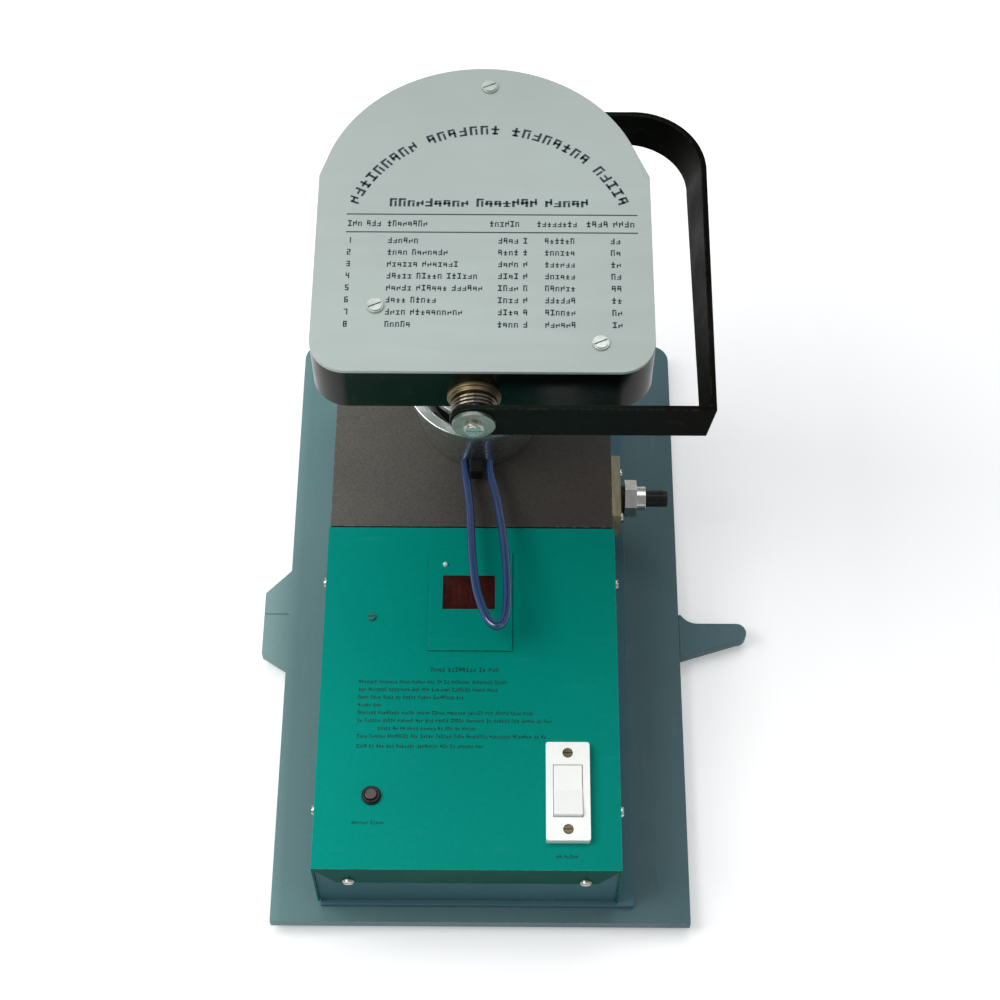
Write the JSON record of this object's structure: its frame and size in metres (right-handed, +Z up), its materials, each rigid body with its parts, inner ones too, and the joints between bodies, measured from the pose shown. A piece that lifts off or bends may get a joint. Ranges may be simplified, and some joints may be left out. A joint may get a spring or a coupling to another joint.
{
  "type": "grain moisture meter",
  "caption": "Bench grain moisture meter with a sliding test cup under a lever-driven rack press and a boxed digital readout.",
  "frame": {"origin": "middle of the whole footprint, on the surface that the feet stand on", "axes": "+X to the operator's right, +Y from the operator to the back, +Z up"},
  "size_m": [0.3027, 0.403, 0.302],
  "materials": {
    "base_enamel": "satin blue-grey enamel",
    "chassis_enamel": "satin blue-grey enamel",
    "plinth_paint": "satin dark blue-grey paint",
    "green_paint": "satin green powder coat",
    "hammertone": "grey-brown hammertone paint",
    "head_paint": "glossy dark enamel",
    "chart_aluminium": "satin anodised",
    "black_strip": "satin black paint",
    "cup_chrome": "polished",
    "bright_steel": "polished plating",
    "machined_steel": "turned",
    "black_oxide": "black oxide",
    "bush_brass": "dull brass",
    "spring_steel": "bright wire",
    "tan_board": "tan laminate",
    "black_plastic": "moulded",
    "white_plastic": "moulded",
    "red_window": "tinted, glossy",
    "display_black": "satin",
    "lamp_white": "diffused",
    "button_red": "satin",
    "board_green": "solder resist",
    "coil_tape": "insulating tape",
    "blue_vinyl": "glossy vinyl",
    "black_rubber": "matte"
  },
  "bodies": {
    "frame": {"base_plate": "base_enamel", "side_grip": "base_enamel", "rubber_feet": "black_rubber", "foot_screws": "bright_steel", "plinth": "plinth_paint", "chassis_tray": "chassis_enamel", "top_cover": "green_paint", "cover_screws": "bright_steel", "display_plate": "green_paint", "display_window": "red_window", "display_module": "display_black", "display_board": "board_green", "board_standoffs": "bush_brass", "status_led": "lamp_white", "main_board": "board_green", "board_parts": "black_plastic", "transformer_core": "machined_steel", "transformer_coil": "coil_tape", "switch_plate": "white_plastic", "switch_body": "white_plastic", "switch_screws": "bright_steel", "button_body": "black_plastic", "press_block": "hammertone", "cord_gland": "black_plastic", "contact_insulator": "black_plastic", "contact_pin": "bush_brass", "terminal_plate": "tan_board", "terminal_screws": "bright_steel", "terminal_washer": "black_plastic", "terminal_nut": "bright_steel", "terminal_stud": "bush_brass", "column": "head_paint", "frame_bolts": "black_oxide", "head_housing": "head_paint", "head_plate": "chart_aluminium", "plate_screws": "bright_steel", "front_bush": "bush_brass", "rear_bush": "bush_brass", "ram_guide": "machined_steel", "guide_bolts": "black_oxide", "return_spring": "spring_steel"},
    "lever_arm": {"lever": "black_strip", "lever_washers": "bright_steel", "lever_screws": "bright_steel", "drive_shaft": "machined_steel", "pinion": "machined_steel", "hub_spacer": "bright_steel"},
    "ram": {"ram_rod": "machined_steel", "rack_bar": "machined_steel", "pressure_pad": "machined_steel"},
    "setting_ring": {"thickness_ring": "machined_steel"},
    "test_cup": {"cup_shell": "cup_chrome", "cup_insulator": "black_plastic", "cup_electrode": "bush_brass", "handle_bracket": "black_plastic", "handle_wire": "spring_steel", "handle_sleeve": "blue_vinyl"},
    "rocker": {"switch_rocker": "white_plastic"},
    "button": {"button_cap": "button_red"},
    "terminal_knob": {"terminal_cap": "black_plastic"}
  },
  "joints": [
    {"name": "lever_swing", "type": "hinge", "parent": "frame", "child": "lever_arm", "pos_m": [-0.01635, 0, 0.278], "axis": [0, 1, 0], "range_deg": [0, 55], "stiffness_Nm_per_rad": 0.8, "springref_deg": -74.48},
    {"name": "ram_travel", "type": "slide", "parent": "frame", "child": "ram", "axis": [0, 0, -1], "range_m": [0, 0.0144]},
    {"name": "ring_turn", "type": "hinge", "parent": "frame", "child": "setting_ring", "pos_m": [-0.01635, 0.106, 0.223], "axis": [0, 0, 1], "range_deg": [0, 330]},
    {"name": "cup_slide", "type": "slide", "parent": "frame", "child": "test_cup", "axis": [0, 1, 0], "range_m": [-0.045, 0]},
    {"name": "rocker_tip", "type": "hinge", "parent": "frame", "child": "rocker", "pos_m": [0.0365, -0.1451, 0.0765], "axis": [1, 0, 0], "range_deg": [0, 10]},
    {"name": "button_press", "type": "slide", "parent": "frame", "child": "button", "axis": [0, 0, -1], "range_m": [0, 0.002], "stiffness_N_per_m": 400, "springref_m": -0.002},
    {"name": "terminal_turn", "type": "hinge", "parent": "frame", "child": "terminal_knob", "pos_m": [0.09365, 0.057, 0.059], "axis": [1, 0, 0], "continuous": true}
  ],
  "couplings": [
    {"joint": "ram_travel", "follows": "lever_swing", "m_per_rad": 0.015}
  ]
}
